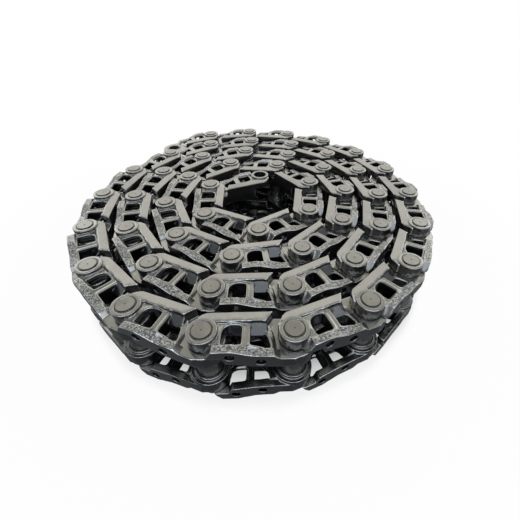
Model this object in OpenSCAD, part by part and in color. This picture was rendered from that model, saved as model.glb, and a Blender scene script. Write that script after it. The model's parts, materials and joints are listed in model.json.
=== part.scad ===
// Excavator track chain, coiled on its side: two strands of forged links on pins and bushes.
// Millimetres, +Z up. The pins stand upright and the coil rests on their lower ends.
// A link is drawn with its pin axis at x = 0 and its bush axis at x = pitch.
// Its rail faces +y, its shoe face faces -y, and z counts from the middle of the chain.

/* [Chain] */
// distance from pin to pin
pitch = 190; // [180:1:216]
// links in one strand
link_count = 51; // [51:1:51]
// pin length, which is the width of the chain
pin_length = 217; // [212:1:224]
// pin diameter
pin_diameter = 44.5; // [40:0.5:47]
// bush outer diameter
bush_diameter = 60; // [56:0.5:62]

/* [Coil] */
// distance of the first pin from the coil centre
coil_start = 139.5; // [139:0.5:160]
// free space between two turns at the tightest place
coil_gap = 14.5; // [14:0.5:40]
// bearing of the first pin
coil_bearing = 76.2; // [70:0.1:80]
// stretch of the coil along its depth
coil_oval = 0.034; // [0:0.001:0.04]

/* [Link] */
// from the pin line to the shoe face
shoe_drop = 49; // [48:0.5:52]
// from the pin line to the running face of the rail
rail_rise = 51; // [48:0.5:51]
// outer radius of the pin boss
boss_radius = 35; // [33:0.5:36]
// outer radius of the bush eye
eye_radius = 46; // [44:0.5:47]
// outboard face of the bush eye
eye_outer = 73; // [70:0.5:74]
// thickness of the bush eye
eye_width = 37; // [34:0.5:40]
// thickness of the shoe flange
flange_thickness = 19; // [17:0.5:21]
// outboard face of the flange at the pin end
flange_high = 101; // [98:0.5:102]
// outboard face of the flange at the bush end
flange_low = 85; // [83:0.5:87]
// depth of the rail
rail_depth = 26; // [24:0.5:27]
// fall of the rail shoulder towards the running face
shoulder_fall = 6; // [4:0.5:12]
// width of the strut between the two windows
strut_width = 14; // [10:0.5:16]

/* [Shoe bolts] */
// shoe bolt hole diameter
bolt_diameter = 20.5; // [18:0.5:22]
// from the pin axis to the first bolt hole
bolt_set_back = 58.5; // [56:0.5:62]
// distance between the two bolt holes along the link
bolt_spacing = 62; // [58:0.5:64]
// distance across the chain between the first holes
bolt_wide = 160.4; // [156:0.2:164]
// distance across the chain between the second holes
bolt_narrow = 124.4; // [120:0.2:128]

/* [Fits] */
// radial clearance of the turning pin in the bush
running_clearance = 0.1; // [0.05:0.01:0.1]
// radial gap that shows a pressed seat
press_gap = 0.05; // [0.04:0.01:0.06]
// side gap between neighbouring links
side_gap = 2; // [1.5:0.1:3]
// swing gap round the end of the next link
swing_gap = 1.5; // [1:0.1:2]

/* [Hidden] */
$fn = 96;
steel = [0.16, 0.16, 0.165];
bright_steel = [0.3, 0.29, 0.28];
seal_rubber = [0.05, 0.05, 0.05];
cut = 1;
overlap = 1;

half_width = pin_length / 2;
pin_radius = pin_diameter / 2;
pin_proud = 2.5;
pin_chamfer = 2;
dimple_tip = 0.4;
dimple_depth = 1.4;
bush_radius = bush_diameter / 2;
bush_bore = pin_radius + running_clearance;
pin_seat = pin_radius + press_gap;
bush_seat = bush_radius + press_gap;

boss_inner = eye_outer + side_gap;
boss_outer = half_width - pin_proud;
boss_chamfer = 4.5;
bore_chamfer = 0.6;
eye_inner = eye_outer - eye_width;
collar_wall = 6;
collar_radius = bush_radius + collar_wall;
collar_depth = 6;

seal_inset = 1;
seal_radius = bush_radius - seal_inset;
seal_bore = pin_radius + seal_inset;
seal_seat = 2.5;
seal_gap = 0.2;

second_bolt = bolt_set_back + bolt_spacing;
strut_middle = bolt_set_back + bolt_spacing / 2;
strut_start = strut_middle - strut_width / 2;
strut_end = strut_middle + strut_width / 2;

// Shoe flange: a slanted tip, a high part, a step between the bolts, and a ledge under the eye.
flange_inner = -shoe_drop + flange_thickness;
flange_tip = 4;
tip_knee = 11;
tip_knee_rise = 9;
tip_end = 24;
step_start = bolt_set_back + 4;
step_end = second_bolt - 15;
low_end = second_bolt + 26;
flange_tilt = 1;
ledge_start = pitch - 30;
ledge_end = pitch + 10;
foot_start = 42;
foot_end = 49;
foot_depth = 57;
foot_lift = 3;
corner_run = 10;
corner_fall = 5;

// Rail: an outer bar beside the boss and an inner bar that runs over the eye.
rail_inner = rail_rise - rail_depth;
rail_lift = 1;
shoulder_high = flange_high + rail_lift;
shoulder_low = shoulder_high - shoulder_fall;
rail_under = eye_inner + 7;
rail_start = -28;
rail_round = -8;
rail_round_fall = 5;
rail_flat = 2;
rail_end = pitch - 60;
rail_end_slant = 16;
rail_overrun = 4;
rail_nose = 14;
rail_nose_fall = 6;
rail_heel = 20;
swing_radius = norm([rail_overrun, rail_rise]) + swing_gap;
bend_relief = 1;

// Web between flange and rail, with its step from the outer to the inner level.
web_under = eye_inner + 4;
plate_drop = 6;
plate_high = flange_high - plate_drop;
web_dip = 4;
web_low = second_bolt + 2;
web_eye = second_bolt + 17;
web_foot_start = strut_middle + 21;
web_foot_end = second_bolt + 30;
web_foot_lift = 6;

window_margin = 1;
window_start = boss_radius + window_margin;
window_top = rail_inner + window_margin;
window_arch = 28;
window_corner = 6;
window_reach = pitch - eye_radius - 2 * window_margin - strut_middle;
mouth_end = rail_end - 2 * window_margin;

turn_spacing = shoe_drop + rail_rise + coil_gap;
front_section = 39;
widest_step = 110;
search_steps = 40;

// Coil: pins lie one pitch apart along a slightly oval spiral.

function coil_point(a) =
    let (r = coil_start + turn_spacing * a / 360, b = coil_bearing + a)
    [r * cos(b) * (1 - coil_oval), r * sin(b) * (1 + coil_oval)];

function pitch_angle(from, low, high, tries) =
    let (mid = (low + high) / 2)
    tries == 0 ? mid
    : norm(coil_point(mid) - from) < pitch ? pitch_angle(from, mid, high, tries - 1)
    : pitch_angle(from, low, mid, tries - 1);

function next_pin(a) = pitch_angle(coil_point(a), a, a + widest_step, search_steps);

function heading(line) = atan2(line[1], line[0]);

function turned(p, a) = [p[0] * cos(a) - p[1] * sin(a), p[0] * sin(a) + p[1] * cos(a)];

coil_angles = [for (i = 0, a = 0; i <= link_count; a = next_pin(a), i = i + 1) a];
spiral = [for (a = coil_angles) coil_point(a)];
squaring = -heading(spiral[front_section + 1] - spiral[front_section]);
pins = [for (p = spiral) turned(p, squaring)];
bearings = [for (k = [0 : link_count - 1]) heading(pins[k + 1] - pins[k])];

bends = [for (k = [1 : link_count - 1]) (bearings[k] - bearings[k - 1] + 360) % 360];
tightest_bend = max(bends);

shoe_corners = [
    [flange_tip, corner_fall - shoe_drop],
    [flange_tip + corner_run, -shoe_drop],
    [ledge_end - corner_run, -shoe_drop],
    [ledge_end, corner_fall - shoe_drop]
];
rim = [for (k = [0 : link_count - 1]) for (c = shoe_corners) pins[k] + turned(c, bearings[k])];
rim_x = [for (p = rim) p[0]];
rim_y = [for (p = rim) p[1]];
middle = [(min(rim_x) + max(rim_x)) / 2, (min(rim_y) + max(rim_y)) / 2];

module at_section(k) {
    place = pins[k] - middle;
    translate([place[0], place[1], half_width])
        rotate([0, 0, bearings[k]])
            children();
}

// Outlines seen along the chain width (x and z), given to the link from shoe to rail.

flange_outline = [
    [flange_tip, boss_inner],
    [tip_knee, boss_inner + tip_knee_rise],
    [tip_end, flange_high],
    [step_start, flange_high],
    [step_end, flange_low + flange_tilt],
    [low_end, flange_low - flange_tilt],
    [ledge_start, eye_outer],
    [ledge_end, eye_outer],
    [ledge_end, rail_under],
    [low_end, rail_under],
    [step_end, rail_under + foot_lift],
    [foot_end, foot_depth],
    [foot_start, boss_inner]
];

web_outline = [
    [0, boss_inner],
    [0, plate_high],
    [step_start, plate_high],
    [strut_end, plate_high - web_dip],
    [web_low, flange_low - flange_tilt],
    [web_eye, eye_outer],
    [pitch, eye_outer],
    [pitch, web_under],
    [web_foot_end, web_under],
    [web_foot_start, web_under + web_foot_lift],
    [foot_end, foot_depth],
    [foot_start, boss_inner]
];

module along_width(outline, low, high) {
    translate([0, high, 0])
        rotate([90, 0, 0])
            linear_extrude(high - low)
                polygon(outline);
}

module swing_clearance() {
    translate([0, 0, -cut]) {
        cylinder(r = swing_radius, h = boss_inner + cut);
        rotate([0, 0, 90 - tightest_bend])
            cube([rail_rise + swing_gap, swing_radius, boss_inner + cut + bend_relief]);
    }
}

// Pieces of one link.

module pin_boss() {
    translate([0, 0, boss_inner])
        cylinder(r = boss_radius, h = boss_outer - boss_inner - boss_chamfer);
    translate([0, 0, boss_outer - boss_chamfer])
        cylinder(r1 = boss_radius, r2 = boss_radius - boss_chamfer, h = boss_chamfer);
}

module bush_eye() {
    translate([pitch, 0, eye_inner])
        cylinder(r = eye_radius, h = eye_width);
    translate([pitch, 0, eye_inner - collar_depth])
        cylinder(r = collar_radius, h = collar_depth + overlap);
}

module shoe_flange() {
    intersection() {
        along_width(flange_outline, -shoe_drop, flange_inner);
        linear_extrude(half_width)
            polygon(concat(shoe_corners, [[ledge_end, flange_inner], [flange_tip, flange_inner]]));
    }
}

module rail_bar(under, low_end, high_end) {
    translate([low_end, 0, 0])
        rotate([90, 0, 90])
            linear_extrude(high_end - low_end)
                polygon([
                    [rail_inner, under],
                    [rail_inner, shoulder_high],
                    [rail_rise, shoulder_low],
                    [rail_rise, under]
                ]);
}

module outer_rail() {
    intersection() {
        rail_bar(foot_depth, rail_start, rail_end + rail_end_slant);
        linear_extrude(half_width)
            polygon([
                [rail_start, rail_inner - overlap],
                [rail_start, rail_inner],
                [rail_round, rail_rise - rail_round_fall],
                [rail_flat, rail_rise],
                [rail_end + rail_end_slant, rail_rise],
                [rail_end, rail_inner - overlap]
            ]);
    }
}

module inner_rail() {
    translate([0, 0, rail_under])
        linear_extrude(eye_outer - rail_under)
            polygon([
                [0, rail_inner],
                [0, rail_rise],
                [pitch + rail_overrun, rail_rise],
                [pitch + rail_nose, rail_rise - rail_nose_fall],
                [pitch + rail_heel, rail_inner]
            ]);
}

module web() {
    along_width(web_outline, flange_inner - overlap, rail_inner + overlap);
}

module rounded_window(low, high) {
    reach = high - low;
    for (x = [low[0] + window_corner, high[0] - window_corner])
        for (y = [low[1] + window_corner, high[1] - window_corner])
            translate([x, y])
                circle(r = window_corner);
    translate([low[0] + window_corner, low[1]])
        square([reach[0] - 2 * window_corner, reach[1]]);
    translate([low[0], low[1] + window_corner])
        square([reach[0], reach[1] - 2 * window_corner]);
}

module window_haunch() {
    spring = window_top - window_arch;
    difference() {
        translate([window_start - overlap, spring])
            square(window_arch + overlap);
        translate([window_start + window_arch, spring])
            circle(r = window_arch);
    }
}

module first_window() {
    difference() {
        rounded_window([window_start, flange_inner], [strut_start, window_top]);
        window_haunch();
    }
}

module second_window() {
    intersection() {
        translate([strut_middle, flange_inner])
            circle(r = window_reach);
        rounded_window([strut_end, flange_inner], [strut_end + window_reach, window_top]);
    }
}

module second_window_mouth() {
    rounded_window([strut_end, flange_inner], [mouth_end, window_top]);
}

module windows() {
    linear_extrude(half_width) {
        first_window();
        second_window();
    }
    translate([0, 0, eye_outer])
        linear_extrude(half_width - eye_outer)
            second_window_mouth();
}

module pin_bore() {
    mouth = bore_chamfer + overlap;
    cylinder(r = pin_seat, h = half_width);
    cylinder(r = seal_radius + seal_gap, h = boss_inner + seal_seat);
    translate([0, 0, boss_outer - bore_chamfer])
        cylinder(r1 = pin_seat, r2 = pin_seat + mouth, h = mouth);
}

module bush_bore_cut() {
    translate([pitch, 0, 0])
        cylinder(r = bush_seat, h = half_width);
}

module shoe_bolt_holes() {
    for (hole = [[bolt_set_back, bolt_wide / 2], [second_bolt, bolt_narrow / 2]])
        translate([hole[0], -shoe_drop - cut, hole[1]])
            rotate([-90, 0, 0])
                cylinder(d = bolt_diameter, h = flange_thickness + 2 * cut);
}

module upper_link() {
    color(steel)
        difference() {
            union() {
                pin_boss();
                bush_eye();
                shoe_flange();
                difference() {
                    union() {
                        web();
                        outer_rail();
                        inner_rail();
                    }
                    windows();
                    swing_clearance();
                }
            }
            pin_bore();
            bush_bore_cut();
            shoe_bolt_holes();
        }
}

module lower_link() {
    mirror([0, 0, 1])
        upper_link();
}

module pin_end() {
    dimple = dimple_depth + overlap;
    difference() {
        union() {
            cylinder(r = pin_radius, h = half_width - pin_chamfer);
            translate([0, 0, half_width - pin_chamfer])
                cylinder(r1 = pin_radius, r2 = pin_radius - pin_chamfer, h = pin_chamfer);
        }
        translate([0, 0, half_width - dimple_depth])
            cylinder(r1 = dimple_tip, r2 = dimple_tip + dimple, h = dimple);
    }
}

module track_pin() {
    color(bright_steel) {
        pin_end();
        mirror([0, 0, 1])
            pin_end();
    }
}

module track_bush() {
    color(bright_steel)
        translate([pitch, 0, -eye_outer])
            difference() {
                cylinder(r = bush_radius, h = 2 * eye_outer);
                translate([0, 0, -cut])
                    cylinder(r = bush_bore, h = 2 * eye_outer + 2 * cut);
            }
}

module seal_ring() {
    low = eye_outer + seal_gap;
    high = boss_inner + seal_seat - seal_gap;
    translate([0, 0, low])
        difference() {
            cylinder(r = seal_radius, h = high - low);
            translate([0, 0, -cut])
                cylinder(r = seal_bore, h = high - low + 2 * cut);
        }
}

module pin_seals() {
    color(seal_rubber) {
        seal_ring();
        mirror([0, 0, 1])
            seal_ring();
    }
}

// One moving section: a pair of links, the pin and seals at one end, the bush at the other.

module track_section(k) {
    at_section(k) {
        upper_link();
        lower_link();
        track_pin();
        pin_seals();
        track_bush();
    }
}

module inner_end_upper_link() { at_section(0) upper_link(); }
module inner_end_lower_link() { at_section(0) lower_link(); }
module inner_end_bush() { at_section(0) track_bush(); }

module front_upper_link() { at_section(front_section) upper_link(); }
module front_lower_link() { at_section(front_section) lower_link(); }
module front_bush() { at_section(front_section) track_bush(); }
module front_pin_set() {
    at_section(front_section) {
        track_pin();
        pin_seals();
    }
}

module outer_end_upper_link() { at_section(link_count - 1) upper_link(); }
module outer_end_lower_link() { at_section(link_count - 1) lower_link(); }
module outer_end_bush() { at_section(link_count - 1) track_bush(); }
module outer_end_pin() { at_section(link_count - 1) track_pin(); }
module outer_end_seals() { at_section(link_count - 1) pin_seals(); }

plain_sections = [for (k = [1 : link_count - 2]) if (k != front_section) k];

function section_name(k) = str("track_section_", k < 10 ? "0" : "", k);

inner_end_upper_link();
inner_end_lower_link();
inner_end_bush();
front_upper_link();
front_lower_link();
front_bush();
front_pin_set();
outer_end_upper_link();
outer_end_lower_link();
outer_end_bush();
outer_end_pin();
outer_end_seals();
for (k = plain_sections)
    track_section(k);
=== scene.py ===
import json
import math
import bmesh
import bpy
from mathutils import Matrix, Vector


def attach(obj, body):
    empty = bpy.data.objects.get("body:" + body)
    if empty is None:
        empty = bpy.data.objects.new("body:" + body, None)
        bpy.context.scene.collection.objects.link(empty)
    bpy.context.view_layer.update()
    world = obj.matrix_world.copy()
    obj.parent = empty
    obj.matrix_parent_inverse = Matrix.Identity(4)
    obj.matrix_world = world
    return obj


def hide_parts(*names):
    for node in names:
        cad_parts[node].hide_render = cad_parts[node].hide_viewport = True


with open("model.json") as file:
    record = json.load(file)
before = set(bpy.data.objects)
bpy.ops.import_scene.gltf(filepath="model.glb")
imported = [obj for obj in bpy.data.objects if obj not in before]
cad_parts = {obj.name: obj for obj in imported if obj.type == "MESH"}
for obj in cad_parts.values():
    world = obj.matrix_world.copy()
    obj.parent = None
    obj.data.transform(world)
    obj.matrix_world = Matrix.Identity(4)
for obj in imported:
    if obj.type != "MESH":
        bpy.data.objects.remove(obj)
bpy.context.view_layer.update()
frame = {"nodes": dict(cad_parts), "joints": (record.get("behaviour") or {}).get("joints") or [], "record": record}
scene = bpy.context.scene
record = frame["record"]
bodies = record["behaviour"]["bodies"]
mounts = {mount["name"]: mount for mount in record["mounts"]}
mmPerMetre = 1000


# Where each pin stands: the hinges give the fitted pins, the two mounts give the open ends.

def findPins():
    pins = {int(joint["name"].split("_")[1]): Vector(joint["pos_m"]) for joint in frame["joints"]}
    pins[0] = Vector(mounts["master_pin_bore"]["pos_m"])
    pins[len(pins)] = Vector(mounts["master_bush_bore"]["pos_m"])
    return [pins[k] for k in range(len(pins))]


pins = findPins()
sectionCount = len(pins) - 1
pitch = (pins[1] - pins[0]).length
halfWidth = pins[0].z
pressGap = 0.05      # mm between the bore of a link and the pin
pinRadius = (mounts["master_pin_bore"]["dims"]["r_mm"] - pressGap) / mmPerMetre
eyeOuter = mounts["master_bush_bore"]["dims"]["length_mm"] / 2 / mmPerMetre
frontSection = next(k for k in range(sectionCount) if bodies[f"section_{k:02d}"][0].startswith("front"))


# Small helpers for node trees

def addNode(tree, kind, **values):
    node = tree.nodes.new(kind)
    for name, value in values.items():
        setattr(node, name, value)
    return node


def join(tree, fromNode, fromSocket, toNode, toSocket):
    tree.links.new(fromNode.outputs[fromSocket], toNode.inputs[toSocket])


def newMaterial(name):
    material = bpy.data.materials.new(name)
    material.use_nodes = True
    tree = material.node_tree
    return material, tree, tree.nodes["Principled BSDF"]


def addNoise(tree, coords, scale, detail=4.0, roughness=0.55):
    noise = addNode(tree, "ShaderNodeTexNoise")
    noise.inputs["Scale"].default_value = scale
    noise.inputs["Detail"].default_value = detail
    noise.inputs["Roughness"].default_value = roughness
    tree.links.new(coords, noise.inputs["Vector"])
    return noise.outputs["Fac"]


def addRamp(tree, source, places, colours):
    ramp = addNode(tree, "ShaderNodeValToRGB")
    for element, place, colour in zip(ramp.color_ramp.elements, places, colours):
        element.position = place
        element.color = (*colour, 1.0)
    tree.links.new(source, ramp.inputs["Fac"])
    return ramp.outputs["Color"]


def addRange(tree, source, low, high, fromLow=0.0, fromHigh=1.0):
    node = addNode(tree, "ShaderNodeMapRange")
    node.inputs["From Min"].default_value = fromLow
    node.inputs["From Max"].default_value = fromHigh
    node.inputs["To Min"].default_value = low
    node.inputs["To Max"].default_value = high
    tree.links.new(source, node.inputs["Value"])
    return node.outputs["Result"]


def addMath(tree, operation, first, second):
    node = addNode(tree, "ShaderNodeMath", operation=operation)
    tree.links.new(first, node.inputs[0])
    tree.links.new(second, node.inputs[1])
    return node.outputs["Value"]


def addScaled(tree, value, scale, base):
    node = addNode(tree, "ShaderNodeMath", operation="MULTIPLY_ADD")
    node.inputs[1].default_value = scale
    tree.links.new(value, node.inputs[0])
    tree.links.new(base, node.inputs[2])
    return node.outputs["Value"]


def addMix(tree, amount, first, second):
    mix = addNode(tree, "ShaderNodeMix", data_type="RGBA")
    tree.links.new(amount, mix.inputs["Factor"])
    sockets = [socket for socket in mix.inputs if socket.type == "RGBA"]
    for socket, colour in zip(sockets, (first, second)):
        if isinstance(colour, tuple):
            socket.default_value = (*colour, 1)
        else:
            tree.links.new(colour, socket)
    return next(socket for socket in mix.outputs if socket.type == "RGBA")


def addBump(tree, height, depth):
    bump = addNode(tree, "ShaderNodeBump")
    bump.inputs["Distance"].default_value = depth
    tree.links.new(height, bump.inputs["Height"])
    return bump


def readAttribute(tree, name):
    return addNode(tree, "ShaderNodeAttribute", attribute_name=name).outputs["Fac"]


def setMetal(shader, look):
    shader.inputs["Metallic"].default_value = look["metallic"]
    shader.inputs["Coat Weight"].default_value = look["coat"]
    shader.inputs["Coat Roughness"].default_value = look["coatRough"]


# Finishes

linkPaintLook = {
    # painted shade colour for faces turned sideways
    "side": (0.12, 0.116, 0.11),
    "deep": (0.28, 0.274, 0.256),
    "worn": (0.385, 0.372, 0.338),
    # painted shade colour for hollows and recesses
    "paintedShade": (0.02, 0.021, 0.023),
    # painted highlight colour for sharp edges
    "edge": (0.97, 0.975, 0.98),
    # cast band speckles: the band's own speckled look, with painted shade in the pits and painted highlight on the
    # peaks
    "pit": (0.1, 0.098, 0.094),
    "peak": (0.51, 0.5, 0.475),
    "metallic": 0.95,
    "coat": 1.0,
    "coatRough": 0.1,
    "roughLow": 0.15,
    "roughHigh": 0.28,
    "sideRough": 0.12,
    "bandRough": 0.1,
    "patchScale": 22.0,
    "patchRange": (0.35, 0.85),
    "glossRange": (0.3, 0.7),
    "toneShare": 0.25,
    "grainScale": 420.0,
    "grainDepth": 0.0003,
    "grainStrength": 0.35,
    "castScale": 260.0,
    "castDepth": 0.0026,
    "speckRange": (0.4, 0.62),
}


def makeLinkPaint(look):
    material, tree, shader = newMaterial("linkPaint")
    coords = addNode(tree, "ShaderNodeTexCoord").outputs["Object"]
    patches = addNoise(tree, coords, look["patchScale"], detail=2.5)
    grain = addNoise(tree, coords, look["grainScale"], detail=3.0, roughness=0.6)
    cast = addNoise(tree, coords, look["castScale"], detail=2.0, roughness=0.5)
    names = ("castBand", "tone", "levelSheen", "edge", "paintedShade")
    band, tone, levelSheen, edge, paintedShade = (readAttribute(tree, name) for name in names)

    # colour: dark paint with lighter worn patches, each section a little different
    toned = addScaled(tree, tone, look["toneShare"], patches)
    flat = addRamp(tree, toned, look["patchRange"], (look["deep"], look["worn"]))
    # painted light: faces pointing up or down take the lighter paint as painted sheen, and faces turned sideways
    # take the darker side colour as painted shade
    faced = addMix(tree, levelSheen, look["side"], flat)
    # the cast band's speckles follow the noise of its pimples: painted shade in the pits and painted highlight on
    # the peaks
    specks = addRamp(tree, cast, look["speckRange"], (look["pit"], look["peak"]))
    banded = addMix(tree, band, faced, specks)
    # painted highlight: sharp convex edges are mixed towards near white
    highlighted = addMix(tree, edge, banded, look["edge"])
    # painted shade: bolt holes, window walls, inner faces, ledge and scoop are mixed towards near black
    shadedColour = addMix(tree, paintedShade, highlighted, look["paintedShade"])
    tree.links.new(shadedColour, shader.inputs["Base Color"])

    # gloss: broken up by the same patches, duller on the rough cast band and on the sides
    gloss = addRange(tree, patches, look["roughLow"], look["roughHigh"], *look["glossRange"])
    dull = addScaled(tree, band, look["bandRough"], gloss)
    sides = addRange(tree, levelSheen, look["sideRough"], 0.0)
    tree.links.new(addMath(tree, "ADD", dull, sides), shader.inputs["Roughness"])
    setMetal(shader, look)

    # relief: fine grain everywhere, coarse pimples on the cast band
    fine = addBump(tree, grain, look["grainDepth"])
    fine.inputs["Strength"].default_value = look["grainStrength"]
    coarse = addBump(tree, cast, look["castDepth"])
    tree.links.new(band, coarse.inputs["Strength"])
    join(tree, fine, "Normal", coarse, "Normal")
    join(tree, coarse, "Normal", shader, "Normal")
    return material


pinPaintLook = {
    "deep": (0.295, 0.286, 0.262),
    "worn": (0.375, 0.358, 0.32),
    "paintedShade": (0.03, 0.03, 0.029),
    "metallic": 0.9,
    "coat": 0.4,
    "coatRough": 0.15,
    "roughLow": 0.22,
    "roughHigh": 0.34,
    "patchScale": 34.0,
    "patchRange": (0.35, 0.7),
    "glossRange": (0.3, 0.7),
    "turnedScale": 900.0,
    "turnedDepth": 0.00015,
    "turnedStrength": 0.3,
}


def makePinPaint(look):
    material, tree, shader = newMaterial("pinPaint")
    coords = addNode(tree, "ShaderNodeTexCoord").outputs["Object"]
    patches = addNoise(tree, coords, look["patchScale"], detail=2.5)
    grain = addNoise(tree, coords, look["turnedScale"], detail=2.0)
    flat = addRamp(tree, patches, look["patchRange"], (look["deep"], look["worn"]))
    # painted shade: mixed towards near black in the pin's groove and dimple and over the bush
    shadedColour = addMix(tree, readAttribute(tree, "paintedShade"), flat, look["paintedShade"])
    tree.links.new(shadedColour, shader.inputs["Base Color"])
    gloss = addRange(tree, patches, look["roughLow"], look["roughHigh"], *look["glossRange"])
    tree.links.new(gloss, shader.inputs["Roughness"])
    setMetal(shader, look)
    turned = addBump(tree, grain, look["turnedDepth"])
    turned.inputs["Strength"].default_value = look["turnedStrength"]
    join(tree, turned, "Normal", shader, "Normal")
    return material


sealRubberLook = {
    "dark": (0.006, 0.006, 0.006),
    "light": (0.014, 0.014, 0.013),
    "rough": 0.75,
    "mottleScale": 160.0,
    "mottleRange": (0.3, 0.7),
}


def makeSealRubber(look):
    material, tree, shader = newMaterial("sealRubber")
    coords = addNode(tree, "ShaderNodeTexCoord").outputs["Object"]
    mottle = addNoise(tree, coords, look["mottleScale"])
    rubber = addRamp(tree, mottle, look["mottleRange"], (look["dark"], look["light"]))
    tree.links.new(rubber, shader.inputs["Base Color"])
    shader.inputs["Roughness"].default_value = look["rough"]
    return material


linkPaint = makeLinkPaint(linkPaintLook)
pinPaint = makePinPaint(pinPaintLook)
sealRubber = makeSealRubber(sealRubberLook)
print("finishes ready")


# Mesh helpers

def workObject(name, mesh):
    obj = bpy.data.objects.new(name, mesh)
    scene.collection.objects.link(obj)
    return obj


def evaluatedMesh(obj, name):
    graph = bpy.context.evaluated_depsgraph_get()
    mesh = bpy.data.meshes.new_from_object(obj.evaluated_get(graph))
    mesh.name = name
    return mesh


def dropObject(obj):
    bpy.data.objects.remove(obj)


def setPointValues(mesh, name, values):
    mesh.attributes.new(name, "FLOAT", "POINT").data.foreach_set("value", values)


def smoothStep(value, low, high):
    t = min(max((value - low) / (high - low), 0.0), 1.0)
    return t * t * (3 - 2 * t)


def between(value, rise, fall):
    return smoothStep(value, *rise) * (1 - smoothStep(value, *fall))


# One forged link, from the front upper link, with its pin at the origin: x to the bush, y to the rail.
# For a weight, a pair of numbers is where it starts to change and where it stops, and two pairs are its rise
# and its fall.

forgedLink = {
    "mergeGap": 1e-6,
    "voxel": 0.0015,
    "roundingPasses": 7,
    "easePasses": 14,
    "triangles": 14000,
    "creaseAngle": 70,
    "bossRadius": 0.0325,
    "bossEdge": 0.0012,
    "bossFoot": 0.072,
    "bossNeck": 0.093,
    "bossFront": 0.003,
    "bossFace": 0.026,
    "bossReach": (0.0285, 0.0358),      # what lies between these radii is drawn onto the boss
    "noseBlend": (0.024, 0.006),        # less so beside the nose of the rail
    "plateFacing": 0.75,
    "plateDrop": 0.006,
    "underFacing": -0.3,
    "boreGap": 0.00035,
    "boreReach": 0.006,
    "boreDepth": 0.01,
    "railInner": 0.025,
    "railOuter": 0.051,
    "railLow": 0.09,
    "railLift": 0.003,
    "railEaseAcross": (0.021, 0.027),
    "railEaseHeight": (0.085, 0.09),
    "neckEaseReach": ((0.0335, 0.036), (0.044, 0.05)),
    "neckEaseTop": (0.097, 0.101),
    "plateHeights": ((0.0, 0.0935), (0.0625, 0.0935), (0.0965, 0.0895),
                     (0.1225, 0.0825), (0.1375, 0.0755), (0.2, 0.0755)),
    "windowRims": (                     # corners of the two windows, each with its radius
        ((0.0362, -0.0285, 0.007), (0.084, -0.0285, 0.007), (0.084, 0.0225, 0.012), (0.0362, 0.0225, 0.028)),
        ((0.095, -0.0285, 0.007), (0.1455, -0.0285, 0.008), (0.1285, 0.0268, 0.022), (0.095, 0.0268, 0.007)),
    ),
    "rimBead": 0.0034,
    "beadSides": 10,
    "cornerSteps": 7,
    "rimSwell": 0.0008,
    "rimLow": (0.036, -0.031),
    "rimHigh": (0.146, 0.027),
    "rimFade": (0.004, 0.003),
    "frameReach": 0.01,
    "frameDepth": 0.005,
    "frameProud": 0.0003,
    "frameEnd": 0.149,
    "scoopStart": 0.093,
    "scoopEnd": 0.133,
    "scoopFoot": (0.004, 0.075),
    "scoopTop": (0.028, 0.096),
    "waveSize": 0.03,
    "waveHeight": 0.0008,
    "pimpleSize": 0.005,
    "pimpleHeight": 0.0016,
    "bandAcross": ((-0.0475, -0.0445), (-0.0325, -0.0295)),
    "bandAlong": ((0.022, 0.032), (0.142, 0.152)),
    "bandFacing": (0.6, 0.85),
    "sheenFacing": (0.45, 0.9),
    "wallFacing": (0.3, 0.5),
    "windowShade": 0.9,
    "windowMargin": 0.006,
    "windowTop": (0.083, 0.09),
    "innerShade": 0.55,
    "innerTop": (0.045, 0.075),
    "innerFacing": (-0.8, -0.5),
    "ledgeShade": 0.5,
    "ledgeStart": (0.158, 0.168),
    "ledgeSide": (-0.036, -0.026),
    "scoopShade": 0.9,
    "scoopAlong": ((0.092, 0.096), (0.13, 0.136)),
    "scoopAcross": ((0.0, 0.004), (0.022, 0.028)),
    "scoopFacing": -0.3,
    "holeOuter": -0.0478,
    "holeInner": -0.027,
    "holeRim": 0.0012,
    "edgeSharp": (0.06, 0.2),
    "edgeHighlight": 0.75,
    "bossHighlight": 0.25,
    "bossHighlightReach": 0.003,
}


def bandWeight(place, normal, look):
    across = between(place.y, *look["bandAcross"])
    along = between(place.x, *look["bandAlong"])
    return across * along * smoothStep(normal.z, *look["bandFacing"])


def rimWeight(place, look, wider=0.0):
    outside, inside = look["rimFade"]
    weight = 1.0
    for value, low, high in zip(place, look["rimLow"], look["rimHigh"]):
        low, high = low - wider, high + wider
        weight *= between(value, (low - outside, low + inside), (high - inside, high + outside))
    return weight


def easeWeight(place, look):
    rail = smoothStep(place.y, *look["railEaseAcross"]) * smoothStep(place.z, *look["railEaseHeight"])
    neck = between(place.xy.length, *look["neckEaseReach"]) * (1 - smoothStep(place.z, *look["neckEaseTop"]))
    return max(rail, neck)


def findBoltHoles():
    holes = []
    for name in ("shoe_bolts_wide", "shoe_bolts_narrow"):
        sizes = mounts[name]["dims"]
        along = mounts[name]["pos_m"][0] - pins[frontSection].x
        holes.append((along, sizes["spacing_y_mm"] / 2 / mmPerMetre, sizes["hole_r_mm"] / mmPerMetre))
    return holes


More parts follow.
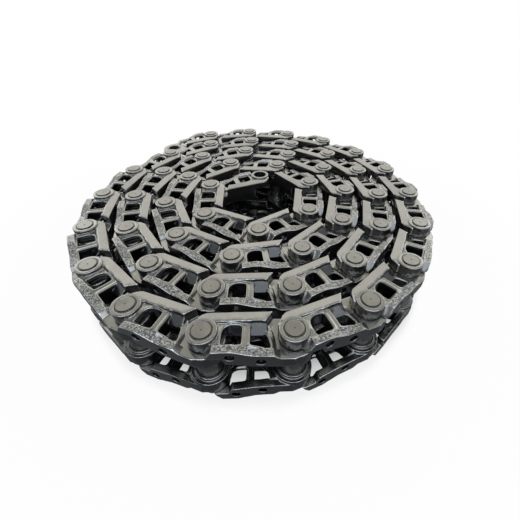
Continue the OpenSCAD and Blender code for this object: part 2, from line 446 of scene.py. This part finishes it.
# Painted shade: near black in the bolt holes and on the window walls, the lower inner faces, the ledge past the
# tip and the scoop, where shade falls.
def paintedShadeWeight(vertex, look, holes):
    place, normal = vertex.co, vertex.normal
    if look["holeOuter"] < place.y < look["holeInner"]:
        if any(math.hypot(place.x - x, place.z - z) < radius + look["holeRim"] for x, z, radius in holes):
            return 1.0
    wall = 1 - smoothStep(normal.z, *look["wallFacing"])
    window = rimWeight(place, look, look["windowMargin"]) * wall
    window *= 1 - smoothStep(place.z, *look["windowTop"])
    inner = (1 - smoothStep(place.z, *look["innerTop"])) * smoothStep(normal.y, *look["innerFacing"])
    ledge = smoothStep(place.x, *look["ledgeStart"]) * (1 - smoothStep(place.y, *look["ledgeSide"])) * wall
    scoop = between(place.x, *look["scoopAlong"]) * between(place.y, *look["scoopAcross"])
    scoop *= normal.y < look["scoopFacing"]
    return max(look["windowShade"] * window, look["innerShade"] * inner, look["ledgeShade"] * ledge,
               look["scoopShade"] * scoop)


def edgeWeights(mesh, look):
    total = [0.0] * len(mesh.vertices)
    count = [0] * len(mesh.vertices)
    for edge in mesh.edges:
        a, b = (mesh.vertices[i] for i in edge.vertices)
        along = (b.co - a.co).normalized()
        total[a.index] -= along.dot(a.normal)
        total[b.index] += along.dot(b.normal)
        count[a.index] += 1
        count[b.index] += 1
    return [smoothStep(t / max(n, 1), *look["edgeSharp"]) for t, n in zip(total, count)]


# Closed solids that are added to the link before it is remeshed: window rims and the sloped wall

def bridgeRings(shape, rings):
    for low, high in zip(rings, rings[1:]):
        for i in range(len(low)):
            n = (i + 1) % len(low)
            shape.faces.new([low[i], low[n], high[n], high[i]])


def addPrism(shape, outline, start, end):
    rings = [[shape.verts.new((x, y, z)) for y, z in outline] for x in (start, end)]
    bridgeRings(shape, rings)
    for ring in rings:
        shape.faces.new(ring)


def sideways(path, i):
    along = path[(i + 1) % len(path)] - path[i - 1]
    return Vector((along.y, -along.x, 0)).normalized()


def addBead(shape, path, look):
    radius, sides = look["rimBead"], look["beadSides"]
    turns = [2 * math.pi * n / sides for n in range(sides)]
    rings = []
    for i, place in enumerate(path):
        side, up = sideways(path, i), Vector((0, 0, 1))
        ring = [place + radius * (math.cos(a) * side + math.sin(a) * up) for a in turns]
        rings.append([shape.verts.new(spot) for spot in ring])
    bridgeRings(shape, rings + rings[:1])


def addFrame(shape, path, look):
    up, down = Vector((0, 0, look["frameProud"])), Vector((0, 0, -look["frameDepth"]))
    rings = []
    for i, place in enumerate(path):
        side = sideways(path, i) * look["frameReach"]
        outer = Vector((min(place.x + side.x, look["frameEnd"]), place.y + side.y, place.z))
        rings.append([shape.verts.new(spot) for spot in (place + up, outer + up, outer + down, place + down)])
    bridgeRings(shape, rings + rings[:1])


def plateHeight(x, look):
    stops = look["plateHeights"]
    for (x0, z0), (x1, z1) in zip(stops, stops[1:]):
        if x <= x1:
            return z0 + (z1 - z0) * (x - x0) / (x1 - x0)
    return stops[-1][1]


def roundedPath(corners, look):
    path = []
    for i, (x, y, radius) in enumerate(corners):
        here = Vector((x, y))
        before = (Vector(corners[i - 1][:2]) - here).normalized()
        after = (Vector(corners[(i + 1) % len(corners)][:2]) - here).normalized()
        reach = radius / math.tan(before.angle(after) / 2)
        start, end = here + before * reach, here + after * reach
        for step in range(look["cornerSteps"] + 1):
            t = step / look["cornerSteps"]
            spot = start * (1 - t) ** 2 + here * 2 * t * (1 - t) + end * t * t
            path.append(Vector((spot.x, spot.y, plateHeight(spot.x, look))))
    return path


def forgeExtras(shape, look):
    foot, top = look["scoopFoot"], look["scoopTop"]
    addPrism(shape, [foot, (top[0], foot[1]), top], look["scoopStart"], look["scoopEnd"])
    for corners in look["windowRims"]:
        path = roundedPath(corners, look)
        addBead(shape, path, look)
        addFrame(shape, path, look)


# Corrections to the remeshed link: a straight boss, a leaning rail face and a clean bore

def nearestOnProfile(point, profile):
    best = None
    for a, b in zip(profile, profile[1:]):
        span = b - a
        t = min(max((point - a).dot(span) / span.length_squared, 0.0), 1.0)
        spot = a + span * t
        if best is None or (point - spot).length < (point - best).length:
            best = spot
    return best


def trimBoss(mesh, look, foot):
    top = max(v.co.z for v in mesh.vertices)
    radius, edge, base = look["bossRadius"], look["bossEdge"], look["bossFoot"]
    nearest, farthest = look["bossReach"]
    outline = ((look["bossFace"], top), (radius - edge, top), (radius, top - edge), (radius, base))
    profile = [Vector(corner) for corner in outline]
    for vertex in mesh.vertices:
        reach = vertex.co.xy.length
        low = foot if vertex.co.x > look["bossFront"] else base
        if reach < nearest or reach > farthest or vertex.co.z < low:
            continue
        if vertex.normal.z > look["plateFacing"] and vertex.co.z < top - look["plateDrop"]:
            continue      # the plate beside the boss
        if vertex.normal.z < look["underFacing"] and reach < radius:
            continue      # the under side of the boss
        spot = nearestOnProfile(Vector((reach, vertex.co.z)), profile)
        goal = Vector((*(vertex.co.xy * (spot.x / reach)), spot.y))
        share = smoothStep(vertex.co.y, *look["noseBlend"]) if vertex.co.z < foot else 1.0
        vertex.co = vertex.co.lerp(goal, share)


def liftRail(mesh, look):
    start, end = look["railInner"], look["railOuter"]
    for vertex in mesh.vertices:
        if vertex.co.y > start and vertex.co.z > look["railLow"]:
            vertex.co.z += look["railLift"] * (vertex.co.y - start) / (end - start)


def squareBore(mesh, look):
    wall, top = pinRadius + look["boreGap"], max(v.co.z for v in mesh.vertices)
    for vertex in mesh.vertices:
        reach = vertex.co.xy.length
        if reach > pinRadius + look["boreReach"] or vertex.co.z < top - look["boreDepth"]:
            continue
        if reach - wall > top - vertex.co.z:
            vertex.co.z = top
        else:
            vertex.co.xy *= wall / reach


# The link itself

def forgeBlank(look):
    mesh = frame["nodes"]["front_upper_link"].data.copy()
    shape = bmesh.new()
    shape.from_mesh(mesh)
    bmesh.ops.remove_doubles(shape, verts=shape.verts, dist=look["mergeGap"])
    bmesh.ops.translate(shape, verts=shape.verts, vec=-pins[frontSection])
    forgeExtras(shape, look)
    bmesh.ops.recalc_face_normals(shape, faces=shape.faces)
    shape.to_mesh(mesh)
    shape.free()
    obj = workObject("linkBlank", mesh)
    remesh = obj.modifiers.new("forge", "REMESH")
    remesh.mode = "VOXEL"
    remesh.voxel_size = look["voxel"]
    rounded = evaluatedMesh(obj, "linkRounded")
    dropObject(obj)
    trimBoss(rounded, look, look["bossFoot"])
    liftRail(rounded, look)
    return rounded


def addSmoothing(obj, name, passes, group=""):
    smooth = obj.modifiers.new(name, "SMOOTH")
    smooth.iterations = passes
    smooth.vertex_group = group


def addRelief(obj, name, size, height, group=""):
    texture = bpy.data.textures.new(name, "CLOUDS")
    texture.noise_scale = size
    relief = obj.modifiers.new(name, "DISPLACE")
    relief.texture = texture
    relief.texture_coords = "LOCAL"
    relief.strength = height
    relief.vertex_group = group


# Stores the cast band and the painted light: painted shade in recesses, painted sheen on level faces and painted
# highlights on edges.
def markCastBandAndPaintedLight(link, look):
    holes = findBoltHoles()
    # painted highlight on sharp convex edges, weaker round the boss
    highlight = [look["edgeHighlight"] * weight for weight in edgeWeights(link, look)]
    for vertex in link.vertices:
        if vertex.co.xy.length < look["bossRadius"] + look["bossHighlightReach"]:
            highlight[vertex.index] *= look["bossHighlight"]
    setPointValues(link, "castBand", [bandWeight(v.co, v.normal, look) for v in link.vertices])
    setPointValues(link, "paintedShade", [paintedShadeWeight(v, look, holes) for v in link.vertices])
    setPointValues(link, "levelSheen", [smoothStep(abs(v.normal.z), *look["sheenFacing"]) for v in link.vertices])
    setPointValues(link, "edge", highlight)


def makeLinkMesh(look):
    rounded = forgeBlank(look)
    obj = workObject("linkRounded", rounded)

    # window rims swell, the rail and the neck of the boss are eased, and the cast band takes the pimples
    rims, eased, pimpled = (obj.vertex_groups.new(name=name) for name in ("rims", "eased", "pimpled"))
    for vertex in rounded.vertices:
        rims.add([vertex.index], rimWeight(vertex.co, look), "REPLACE")
        eased.add([vertex.index], easeWeight(vertex.co, look), "REPLACE")
        pimpled.add([vertex.index], bandWeight(vertex.co, vertex.normal, look), "REPLACE")
    addSmoothing(obj, "soften", look["roundingPasses"])
    swell = obj.modifiers.new("swell", "DISPLACE")
    swell.strength = look["rimSwell"]
    swell.mid_level = 0.0
    swell.vertex_group = "rims"
    addSmoothing(obj, "ease", look["easePasses"], "eased")
    addRelief(obj, "waves", look["waveSize"], look["waveHeight"])
    addRelief(obj, "pimples", look["pimpleSize"], look["pimpleHeight"], "pimpled")
    thin = obj.modifiers.new("thin", "DECIMATE")
    thin.ratio = look["triangles"] / (2 * len(rounded.polygons))
    link = evaluatedMesh(obj, "linkMesh")
    dropObject(obj)

    trimBoss(link, look, look["bossNeck"])
    squareBore(link, look)
    link.shade_smooth()
    link.set_sharp_from_angle(angle=math.radians(look["creaseAngle"]))
    markCastBandAndPaintedLight(link, look)
    link.materials.clear()
    return link


# Turned pieces, lathed about z

turnedCrease = 40      # degrees, edges that turn by more stay sharp


def latheMesh(name, profile, steps):
    shape = bmesh.new()
    rings = []
    for radius, height in profile:
        if radius == 0:
            rings.append([shape.verts.new((0, 0, height))])
            continue
        turns = [2 * math.pi * i / steps for i in range(steps)]
        rings.append([shape.verts.new((radius * math.cos(a), radius * math.sin(a), height)) for a in turns])
    if len(rings[0]) > 1:
        rings.append(rings[0])      # a ring has no ends, so its profile closes
    for low, high in zip(rings, rings[1:]):
        for i in range(steps):
            n = i + 1
            corners = [low[i % len(low)], low[n % len(low)], high[n % len(high)], high[i % len(high)]]
            shape.faces.new(list(dict.fromkeys(corners)))
    bmesh.ops.recalc_face_normals(shape, faces=shape.faces)
    mesh = bpy.data.meshes.new(name)
    shape.to_mesh(mesh)
    shape.free()
    mesh.shade_smooth()
    mesh.set_sharp_from_angle(angle=math.radians(turnedCrease))
    return mesh


turnedPin = {
    "chamfer": 0.0022,
    "proud": 0.0024,
    "edge": 0.0005,
    "edgeSoft": 0.00015,
    "dimple": 0.0015,
    "dimpleDepth": 0.0012,
    "dimpleFloor": 0.00045,
    "dimpleEdge": 0.0002,
    "shadeAmount": 1.0,
    "shadeBlend": 0.0004,
    "dimpleFade": (-0.0002, 0.0004),
    "shelfShade": 0.35,
    "shelfInner": 0.001,
    "shelfOuter": 0.0001,
    "steps": 56,
}


def pinEnd(look):
    top, shelf = halfWidth, halfWidth - look["proud"]
    rim = pinRadius - look["chamfer"]
    dimple, edge = look["dimple"], look["edge"]
    return [
        (0, top - look["dimpleDepth"]),
        (look["dimpleFloor"], top - look["dimpleDepth"]),
        (dimple, top - look["dimpleEdge"]),
        (dimple + edge, top),
        (dimple + edge * 2, top),
        (rim - edge * 2, top),
        (rim - edge, top),
        (rim - look["edgeSoft"], top - look["edgeSoft"]),
        (rim, top - edge),
        (rim, shelf),
        (pinRadius - edge, shelf),
        (pinRadius, shelf - edge),
    ]


def makePinMesh(look):
    end = pinEnd(look)
    pin = latheMesh("pinMesh", end + [(r, -z) for r, z in reversed(end)], look["steps"])
    rim, blend = pinRadius - look["chamfer"], look["shadeBlend"]
    shelfInner, shelfOuter = rim + look["shelfInner"], pinRadius - look["shelfOuter"]
    dimpleInner, dimpleOuter = (look["dimple"] + fade for fade in look["dimpleFade"])
    # painted shade: dark in the groove round the proud pin end, fainter on its shelf, and dark in the centre
    # dimple
    shadeAmount = []
    for vertex in pin.vertices:
        reach, height = vertex.co.xy.length, abs(vertex.co.z)
        groove = smoothStep(reach, rim - blend, rim) * (1 - smoothStep(height, halfWidth - blend, halfWidth))
        groove *= look["shelfShade"] if shelfInner < reach < shelfOuter else 1.0
        dimple = 1 - smoothStep(reach, dimpleInner, dimpleOuter)
        shadeAmount.append(look["shadeAmount"] * max(groove, dimple))
    setPointValues(pin, "paintedShade", shadeAmount)
    return pin


turnedBush = {"outer": 0.03, "clearance": 0.0001, "edge": 0.0012, "shadeAmount": 0.5, "steps": 56}


def makeBushMesh(look):
    outer, inner, edge = look["outer"], pinRadius + look["clearance"], look["edge"]
    profile = [
        (inner, -eyeOuter + edge),
        (inner + edge, -eyeOuter),
        (outer - edge, -eyeOuter),
        (outer, -eyeOuter + edge),
    ]
    bush = latheMesh("bushMesh", profile + [(r, -z) for r, z in reversed(profile)], look["steps"])
    # painted shade: the whole bush, sitting between the links, is darkened half way to the shade colour
    setPointValues(bush, "paintedShade", [look["shadeAmount"]] * len(bush.vertices))
    return bush


sealRing = {"outer": 0.029, "inner": 0.02325, "low": 0.0732, "high": 0.0773, "edge": 0.0008, "steps": 40}


def makeSealMesh(look):
    outer, inner, low, high, edge = (look[n] for n in ("outer", "inner", "low", "high", "edge"))
    profile = [
        (inner, low + edge), (inner + edge, low), (outer - edge, low), (outer, low + edge),
        (outer, high - edge), (outer - edge, high), (inner + edge, high), (inner, high - edge),
    ]
    return latheMesh("sealMesh", profile, look["steps"])


linkMesh = makeLinkMesh(forgedLink)
pinMesh = makePinMesh(turnedPin)
bushMesh = makeBushMesh(turnedBush)
sealMesh = makeSealMesh(sealRing)
print("link has", len(linkMesh.polygons), "faces; pin, bush and seal are turned")


# One track section in geometry nodes: a mirrored pair of links, the bush, and the pin with its seals

def makeSectionTree():
    tree = bpy.data.node_groups.new("trackSection", "GeometryNodeTree")
    face = tree.interface
    face.new_socket("Geometry", in_out="INPUT", socket_type="NodeSocketGeometry")
    for name, kind in (
        ("Pin", "NodeSocketObject"),
        ("Bush", "NodeSocketObject"),
        ("Seal", "NodeSocketObject"),
        ("Pin fitted", "NodeSocketBool"),
        ("Pitch", "NodeSocketFloat"),
        ("Place", "NodeSocketVector"),
        ("Bearing", "NodeSocketFloat"),
        ("Tone", "NodeSocketFloat"),
    ):
        face.new_socket(name, in_out="INPUT", socket_type=kind)
    face.new_socket("Geometry", in_out="OUTPUT", socket_type="NodeSocketGeometry")
    given = addNode(tree, "NodeGroupInput")
    result = addNode(tree, "NodeGroupOutput")

    def piece(name):
        info = addNode(tree, "GeometryNodeObjectInfo", transform_space="ORIGINAL")
        join(tree, given, name, info, "Object")
        return info.outputs["Geometry"]

    def mirrored(geometry):
        turn = addNode(tree, "GeometryNodeTransform")
        turn.inputs["Scale"].default_value = (1, 1, -1)
        flip = addNode(tree, "GeometryNodeFlipFaces")
        both = addNode(tree, "GeometryNodeJoinGeometry")
        tree.links.new(geometry, turn.inputs["Geometry"])
        join(tree, turn, "Geometry", flip, "Mesh")
        join(tree, flip, "Mesh", both, "Geometry")
        tree.links.new(geometry, both.inputs["Geometry"])
        return both.outputs["Geometry"]

    def painted(geometry, material):
        whole = addNode(tree, "GeometryNodeRealizeInstances")
        paint = addNode(tree, "GeometryNodeSetMaterial")
        paint.inputs["Material"].default_value = material
        tree.links.new(geometry, whole.inputs["Geometry"])
        join(tree, whole, "Geometry", paint, "Geometry")
        return paint.outputs["Geometry"]

    links = painted(mirrored(given.outputs["Geometry"]), linkPaint)

    shift = addNode(tree, "ShaderNodeCombineXYZ")
    join(tree, given, "Pitch", shift, "X")
    bushPlace = addNode(tree, "GeometryNodeTransform")
    join(tree, shift, "Vector", bushPlace, "Translation")
    tree.links.new(piece("Bush"), bushPlace.inputs["Geometry"])
    bush = painted(bushPlace.outputs["Geometry"], pinPaint)

    pinSet = addNode(tree, "GeometryNodeJoinGeometry")
    tree.links.new(painted(mirrored(piece("Seal")), sealRubber), pinSet.inputs["Geometry"])
    tree.links.new(painted(piece("Pin"), pinPaint), pinSet.inputs["Geometry"])
    fitted = addNode(tree, "GeometryNodeSwitch", input_type="GEOMETRY")
    join(tree, given, "Pin fitted", fitted, "Switch")
    join(tree, pinSet, "Geometry", fitted, "True")

    section = addNode(tree, "GeometryNodeJoinGeometry")
    for geometry in (fitted.outputs["Output"], bush, links):
        tree.links.new(geometry, section.inputs["Geometry"])
    toned = addNode(tree, "GeometryNodeStoreNamedAttribute", data_type="FLOAT", domain="POINT")
    toned.inputs["Name"].default_value = "tone"
    join(tree, given, "Tone", toned, "Value")
    join(tree, section, "Geometry", toned, "Geometry")
    turn = addNode(tree, "ShaderNodeCombineXYZ")
    join(tree, given, "Bearing", turn, "Z")
    placed = addNode(tree, "GeometryNodeTransform")
    join(tree, given, "Place", placed, "Translation")
    join(tree, turn, "Vector", placed, "Rotation")
    join(tree, toned, "Geometry", placed, "Geometry")
    join(tree, placed, "Geometry", result, "Geometry")
    return tree


def setInput(modifier, name, value):
    items = modifier.node_group.interface.items_tree
    socket = next(i for i in items if i.name == name and i.in_out == "INPUT")
    modifier[socket.identifier] = value


toneStep = 0.618034      # the golden section scatters the tones evenly, the same every run


def sectionTone(k):
    return math.modf(k * toneStep)[0]


def makeSections():
    tree = makeSectionTree()
    pieces = {name: workObject(name + "Blank", mesh)
              for name, mesh in (("Pin", pinMesh), ("Bush", bushMesh), ("Seal", sealMesh))}
    for k in range(sectionCount):
        body = f"section_{k:02d}"
        along = pins[k + 1] - pins[k]
        blank = workObject("sectionBlank", linkMesh.copy())
        builder = blank.modifiers.new("trackSection", "NODES")
        builder.node_group = tree
        for name, obj in pieces.items():
            setInput(builder, name, obj)
        setInput(builder, "Pin fitted", k > 0)
        setInput(builder, "Pitch", pitch)
        setInput(builder, "Place", pins[k])
        setInput(builder, "Bearing", math.atan2(along.y, along.x))
        setInput(builder, "Tone", sectionTone(k))
        mesh = evaluatedMesh(blank, f"trackSection{k:02d}")
        dropObject(blank)
        section = workObject(f"trackSection{k:02d}", mesh)
        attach(section, body)
        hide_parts(*bodies[body])
    for obj in pieces.values():
        dropObject(obj)


makeSections()
print("placed", sectionCount, "track sections along the coil")


# Floor, light and camera

studio = {
    "floorSize": 60.0,
    "floorColour": (0.18, 0.18, 0.18),
    "floorRough": 0.9,
    "floorGlow": 0.982,
    "shadeReach": 0.15,
    "shadeSamples": 12,
    "floorDark": 0.3,
    "floorClear": 0.65,
    "rimGlow": 0.85,
    "rimStart": 0.5,
    "rimEnd": 0.62,
    "fadeStart": 0.8,
    "fadeEnd": 1.3,
    "mirrorStart": 1.2,
    "mirrorEnd": 3.0,
    "skyFill": 0.09,
    "skyColour": (0.86, 0.93, 1.0),
    "backPanel": {"size": (9.0, 2.4), "place": (0.0, 2.77, 1.6), "power": 65.0, "colour": (1.0, 0.99, 0.94)},
    "topPanel": {"size": (5.0, 2.2), "place": (0.0, 1.12, 2.78), "power": 19.0, "colour": (1.0, 0.985, 0.88)},
    "frontPanel": {"size": (5.0, 3.0), "place": (0.2, -2.3, 2.4), "power": 84.0, "colour": (0.82, 0.9, 1.0)},
    "leftPanel": {"size": (6.0, 2.4), "place": (-3.2, 0.2, 1.7), "power": 29.0, "colour": (0.9, 0.95, 1.0)},
    "rightPanel": {"size": (6.0, 2.4), "place": (3.2, 0.2, 1.7), "power": 29.0, "colour": (0.9, 0.95, 1.0)},
}


def makeFloor(look):
    mesh = bpy.data.meshes.new("floor")
    half = look["floorSize"] / 2
    corners = [(-half, -half, 0), (half, -half, 0), (half, half, 0), (-half, half, 0)]
    mesh.from_pydata(corners, [], [(0, 1, 2, 3)])
    floor = workObject("floor", mesh)
    material, tree, shader = newMaterial("floorPaper")
    shader.inputs["Base Color"].default_value = (*look["floorColour"], 1)
    shader.inputs["Roughness"].default_value = look["floorRough"]
    shader.inputs["Specular IOR Level"].default_value = 0.0

    # for the camera the floor is white where nothing stands over it, and for mirrors only further out
    coords = addNode(tree, "ShaderNodeTexCoord")
    reach = addNode(tree, "ShaderNodeVectorMath", operation="LENGTH")
    join(tree, coords, "Object", reach, 0)
    distance = reach.outputs["Value"]
    # painted shadow: near and under the coil the white glow fades with ambient occlusion, leaving the dark floor
    # paper over its real shadow
    shade = addNode(tree, "ShaderNodeAmbientOcclusion", samples=look["shadeSamples"])
    shade.inputs["Distance"].default_value = look["shadeReach"]
    openness = shade.outputs["AO"]
    uncovered = addRange(tree, openness, 0.0, look["floorGlow"], look["floorDark"], look["floorClear"])
    outside = addRange(tree, distance, 0.0, look["rimGlow"], look["rimStart"], look["rimEnd"])
    fade = addRange(tree, distance, 0.0, 1.0 - look["floorGlow"], look["fadeStart"], look["fadeEnd"])
    far = addRange(tree, distance, 0.0, 1.0, look["mirrorStart"], look["mirrorEnd"])
    glow = addMath(tree, "ADD", addMath(tree, "MAXIMUM", uncovered, outside), fade)
    path = addNode(tree, "ShaderNodeLightPath").outputs
    cameraWhite = addMath(tree, "MULTIPLY", path["Is Camera Ray"], glow)
    mirrorRay = addMath(tree, "MAXIMUM", path["Is Glossy Ray"], path["Is Transmission Ray"])
    mirrorWhite = addMath(tree, "MULTIPLY", mirrorRay, far)
    whiteness = addMath(tree, "MAXIMUM", cameraWhite, mirrorWhite)
    white = addNode(tree, "ShaderNodeEmission")
    mix = addNode(tree, "ShaderNodeMixShader")
    tree.links.new(whiteness, mix.inputs["Fac"])
    tree.links.new(shader.outputs["BSDF"], mix.inputs[1])
    tree.links.new(white.outputs["Emission"], mix.inputs[2])
    tree.links.new(mix.outputs["Shader"], tree.nodes["Material Output"].inputs["Surface"])
    mesh.materials.append(material)


def makeSky(look):
    world = bpy.data.worlds.new("studioSky")
    world.use_nodes = True
    tree = world.node_tree
    fill = tree.nodes["Background"]
    fill.inputs["Color"].default_value = (*look["skyColour"], 1)
    fill.inputs["Strength"].default_value = look["skyFill"]
    white = addNode(tree, "ShaderNodeBackground")
    white.inputs["Color"].default_value = (1, 1, 1, 1)
    path = addNode(tree, "ShaderNodeLightPath")
    mix = addNode(tree, "ShaderNodeMixShader")
    join(tree, path, "Is Camera Ray", mix, "Fac")
    tree.links.new(fill.outputs["Background"], mix.inputs[1])
    tree.links.new(white.outputs["Background"], mix.inputs[2])
    tree.links.new(mix.outputs["Shader"], tree.nodes["World Output"].inputs["Surface"])
    scene.world = world


def makePanel(name, look):
    light = bpy.data.lights.new(name, "AREA")
    light.shape = "RECTANGLE"
    light.size, light.size_y = look["size"]
    light.energy = look["power"]
    light.color = look["colour"]
    panel = workObject(name, light)
    panel.location = look["place"]
    panel.rotation_euler = (-Vector(look["place"])).to_track_quat("-Z", "Y").to_euler()
    panel.visible_camera = False


photoCamera = {
    "framePixels": 520,
    "focalPixels": 296.82,
    "centrePixels": (281.95, 252.81),
    "place": (0.0398, -0.9444, 0.7288),
    "bearing": 2.786,
    "down": 40.881,
    "roll": 1.010,
    "sensor": 36.0,
    "clip": (0.02, 200.0),
}


def makeCamera(look):
    lens = bpy.data.cameras.new("photoCamera")
    across, (centreX, centreY) = look["framePixels"], look["centrePixels"]
    lens.sensor_fit = "HORIZONTAL"
    lens.sensor_width = look["sensor"]
    lens.lens = look["sensor"] * look["focalPixels"] / across
    lens.shift_x = (across / 2 - centreX) / across
    lens.shift_y = (centreY - across / 2) / across
    lens.clip_start, lens.clip_end = look["clip"]
    bearing, down, roll = (math.radians(look[n]) for n in ("bearing", "down", "roll"))
    ahead = Vector((math.sin(bearing) * math.cos(down), math.cos(bearing) * math.cos(down), -math.sin(down)))
    level = Vector((math.cos(bearing), -math.sin(bearing), 0))
    above = level.cross(ahead)
    right = level * math.cos(roll) + above * math.sin(roll)
    up = above * math.cos(roll) - level * math.sin(roll)
    camera = workObject("photoCamera", lens)
    turn = Matrix((right, up, -ahead)).transposed().to_4x4()
    camera.matrix_world = Matrix.Translation(look["place"]) @ turn
    scene.camera = camera


makeFloor(studio)
makeSky(studio)
for name in ("backPanel", "topPanel", "frontPanel", "leftPanel", "rightPanel"):
    makePanel(name, studio[name])
makeCamera(photoCamera)
scene.view_settings.view_transform = "Standard"
print("floor, light and camera set")
